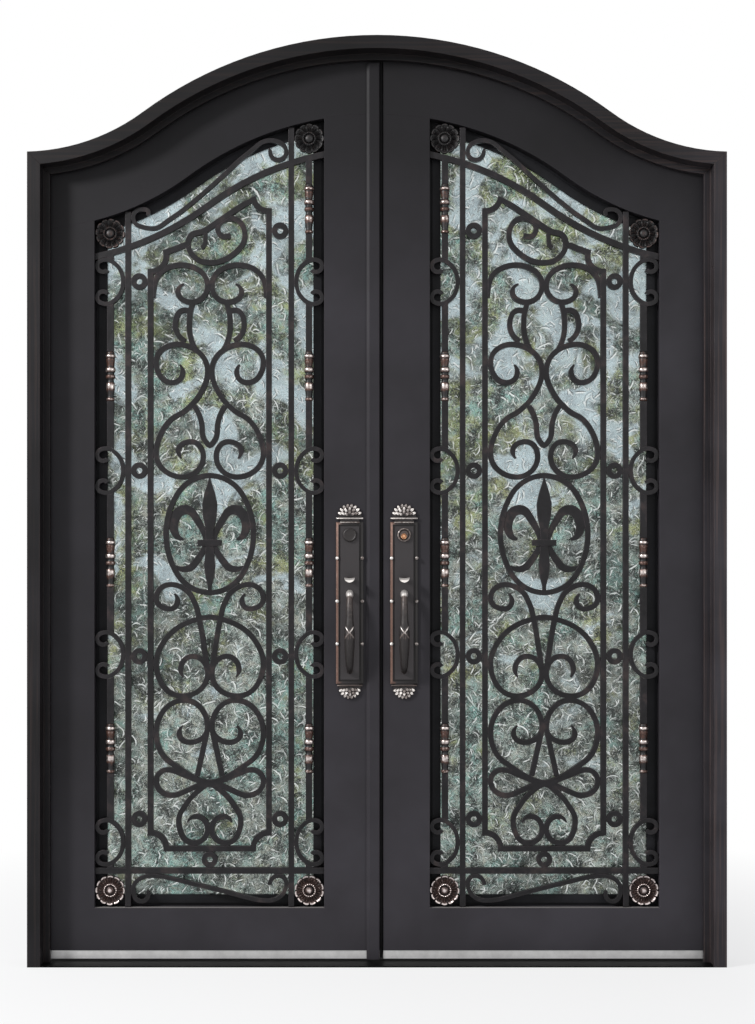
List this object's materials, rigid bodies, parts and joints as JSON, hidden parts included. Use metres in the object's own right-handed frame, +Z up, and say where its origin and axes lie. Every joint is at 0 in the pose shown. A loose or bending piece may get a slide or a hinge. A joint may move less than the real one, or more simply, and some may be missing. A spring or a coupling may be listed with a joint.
{
  "type": "double entry door",
  "caption": "Arched double entry door of wrought iron: steel frame, two hinged leaves, scrollwork grilles over textured glass, and thumb-latch handles.",
  "frame": {"origin": "middle of the frame's outer face, on the underside of the sill", "axes": "+X to the right as seen from outside, +Y inwards through the door, +Z up"},
  "size_m": [1.83, 0.199, 2.438],
  "materials": {
    "frame_paint": "satin black brushed with reddish bronze",
    "leaf_paint": "satin near-black charcoal",
    "forged_paint": "satin near-black, faint bronze brushing on edges",
    "cast_bronze": "black with copper and silver highlights",
    "oiled_bronze": "oil-rubbed bronze with worn copper edges",
    "glazing_paint": "satin dark grey",
    "alloy": "satin mill",
    "pane": "obscured, ice-chip texture"
  },
  "bodies": {
    "frame": {"left_jamb": "frame_paint", "right_jamb": "frame_paint", "head": "frame_paint", "sill": "alloy"},
    "left_leaf": {"left_hinge_stile": "leaf_paint", "left_lock_stile": "leaf_paint", "left_top_rail": "leaf_paint", "left_bottom_rail": "leaf_paint", "left_sweep": "alloy", "left_glass_frame": "glazing_paint", "left_glass": "pane", "left_bars": "forged_paint", "left_cartouche": "forged_paint", "left_crest_scrolls": "forged_paint", "left_heart_scrolls": "forged_paint", "left_oval": "forged_paint", "left_lower_scrolls": "forged_paint", "left_edge_scrolls": "forged_paint", "left_arch_scroll": "forged_paint", "left_rings": "forged_paint", "left_collars": "cast_bronze", "left_rosettes": "cast_bronze", "left_handle_plate": "oiled_bronze", "left_grip": "oiled_bronze", "left_thumb_piece": "oiled_bronze", "left_inside_trim": "oiled_bronze", "astragal": "leaf_paint"},
    "right_leaf": {"right_hinge_stile": "leaf_paint", "right_lock_stile": "leaf_paint", "right_top_rail": "leaf_paint", "right_bottom_rail": "leaf_paint", "right_sweep": "alloy", "right_glass_frame": "glazing_paint", "right_glass": "pane", "right_bars": "forged_paint", "right_cartouche": "forged_paint", "right_crest_scrolls": "forged_paint", "right_heart_scrolls": "forged_paint", "right_oval": "forged_paint", "right_lower_scrolls": "forged_paint", "right_edge_scrolls": "forged_paint", "right_arch_scroll": "forged_paint", "right_rings": "forged_paint", "right_collars": "cast_bronze", "right_rosettes": "cast_bronze", "right_handle_plate": "oiled_bronze", "right_grip": "oiled_bronze", "right_inside_trim": "oiled_bronze"},
    "right_thumb": {"right_thumb_piece": "oiled_bronze"}
  },
  "joints": [
    {"name": "right_hinge", "type": "hinge", "parent": "frame", "child": "right_leaf", "pos_m": [0.89, 0.129, 1.2], "axis": [0, 0, -1], "range_deg": [0, 90]},
    {"name": "left_hinge", "type": "hinge", "parent": "frame", "child": "left_leaf", "pos_m": [-0.89, 0.129, 1.2], "axis": [0, 0, 1], "range_deg": [0, 90]},
    {"name": "right_thumb_press", "type": "hinge", "parent": "right_leaf", "child": "right_thumb", "pos_m": [0.072, 0.064, 1.016], "axis": [1, 0, 0], "range_deg": [0, 15], "stiffness_Nm_per_rad": 0.6, "springref_deg": -8.59}
  ]
}
